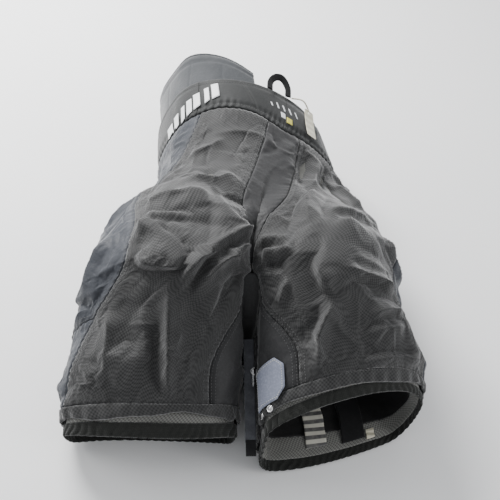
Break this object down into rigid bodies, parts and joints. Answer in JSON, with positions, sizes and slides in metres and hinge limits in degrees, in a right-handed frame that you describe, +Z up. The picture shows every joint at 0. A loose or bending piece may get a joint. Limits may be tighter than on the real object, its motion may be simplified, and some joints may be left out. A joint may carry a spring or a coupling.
{
  "type": "hockey pants",
  "caption": "Padded ice hockey pants lying on their back, with zipped inner legs, laced waist, tall padded back and elastic leg linings.",
  "frame": {"origin": "on the floor under the seat, on the garment's centre line, at the flat rear face the pants lie on", "axes": "+Z up, out of the front of the garment; +Y from the leg hems towards the waist; +X towards the wearer's left"},
  "size_m": [0.4402, 0.5958, 0.2049],
  "materials": {
    "mesh_fabric": "black polyester mesh with a soft sheen",
    "nylon_fabric": "smooth black nylon, slightly shiny",
    "band_fabric": "matte black woven nylon over foam",
    "pad_cover": "dark grey brushed lining over foam",
    "liner_fabric": "grey tricot lining",
    "elastic": "matte black elastic webbing",
    "foam": "closed-cell foam",
    "guard_plastic": "moulded plastic sheet",
    "zip_fabric": "black woven tape",
    "zip_metal": "bright zinc casting",
    "tab_fabric": "grey-blue nylon",
    "label": "woven satin label",
    "card": "cream card",
    "lace": "flat black braid",
    "string": "cream cotton string"
  },
  "bodies": {
    "garment": {"care_label_left": "label", "crotch_gusset": "nylon_fabric", "elastic_hem_left": "elastic", "elastic_hem_right": "elastic", "fly_tongue": "nylon_fabric", "front_gusset": "nylon_fabric", "front_thigh_left": "mesh_fabric", "front_thigh_right": "mesh_fabric", "hang_tag": "card", "hem_front_left": "mesh_fabric", "hem_front_right": "mesh_fabric", "hem_rear_left": "mesh_fabric", "hem_rear_right": "mesh_fabric", "hem_snap_left_1": "zip_metal", "hem_snap_left_2": "zip_metal", "hem_strap_left": "zip_fabric", "hip_pad_left": "foam", "hip_pad_right": "foam", "hip_panel_left": "nylon_fabric", "hip_panel_right": "nylon_fabric", "inner_front_left": "nylon_fabric", "inner_front_right": "nylon_fabric", "inner_rear_left": "nylon_fabric", "inner_rear_right": "nylon_fabric", "kidney_pad": "pad_cover", "leg_label_left": "label", "leg_lining_left": "liner_fabric", "leg_lining_right": "liner_fabric", "leg_strap_left": "zip_fabric", "outer_thigh_left": "nylon_fabric", "outer_thigh_right": "nylon_fabric", "rear_hip_left": "mesh_fabric", "rear_hip_right": "mesh_fabric", "rear_leg_left": "mesh_fabric", "rear_leg_right": "mesh_fabric", "seat_panel": "nylon_fabric", "tab_landing_left": "zip_fabric", "tag_string": "string", "tailbone_pad": "foam", "thigh_foam_left": "foam", "thigh_foam_right": "foam", "thigh_guard_left": "guard_plastic", "thigh_guard_right": "guard_plastic", "waist_lace": "lace", "waistband_back": "band_fabric", "waistband_front_left": "band_fabric", "waistband_front_right": "band_fabric", "zip_chain_left": "zip_fabric", "zip_chain_right": "zip_fabric", "zip_flap_left": "nylon_fabric", "zip_tape_left": "zip_fabric", "zip_tape_right": "zip_fabric"},
    "slider_left": {"zip_slider_left": "zip_metal", "zip_bail_left": "zip_metal"},
    "pull_left": {"zip_pull_left": "zip_metal"},
    "slider_right": {"zip_slider_right": "zip_metal", "zip_bail_right": "zip_metal"},
    "pull_right": {"zip_pull_right": "zip_metal"},
    "tab": {"hem_tab_left": "tab_fabric"}
  },
  "joints": [
    {"name": "zip_slide_left", "type": "slide", "parent": "garment", "child": "slider_left", "axis": [0, -0.9398, -0.3417], "range_m": [-0.044, 0.051]},
    {"name": "zip_pull_swing_left", "type": "hinge", "parent": "slider_left", "child": "pull_left", "pos_m": [0.0048, -0.19438, 0.08968], "axis": [0, 0.3417, -0.9398], "range_deg": [0, 28]},
    {"name": "zip_slide_right", "type": "slide", "parent": "garment", "child": "slider_right", "axis": [0, -0.9371, -0.3489], "range_m": [-0.0191, 0.0592]},
    {"name": "zip_pull_swing_right", "type": "hinge", "parent": "slider_right", "child": "pull_right", "pos_m": [-0.0048, -0.16889, 0.06499], "axis": [0, -0.3489, 0.9371], "range_deg": [0, 28]},
    {"name": "hem_tab_peel", "type": "hinge", "parent": "garment", "child": "tab", "pos_m": [0.00738, -0.2249, 0.09418], "axis": [0.015, -0.9641, -0.265], "range_deg": [0, 85]}
  ]
}
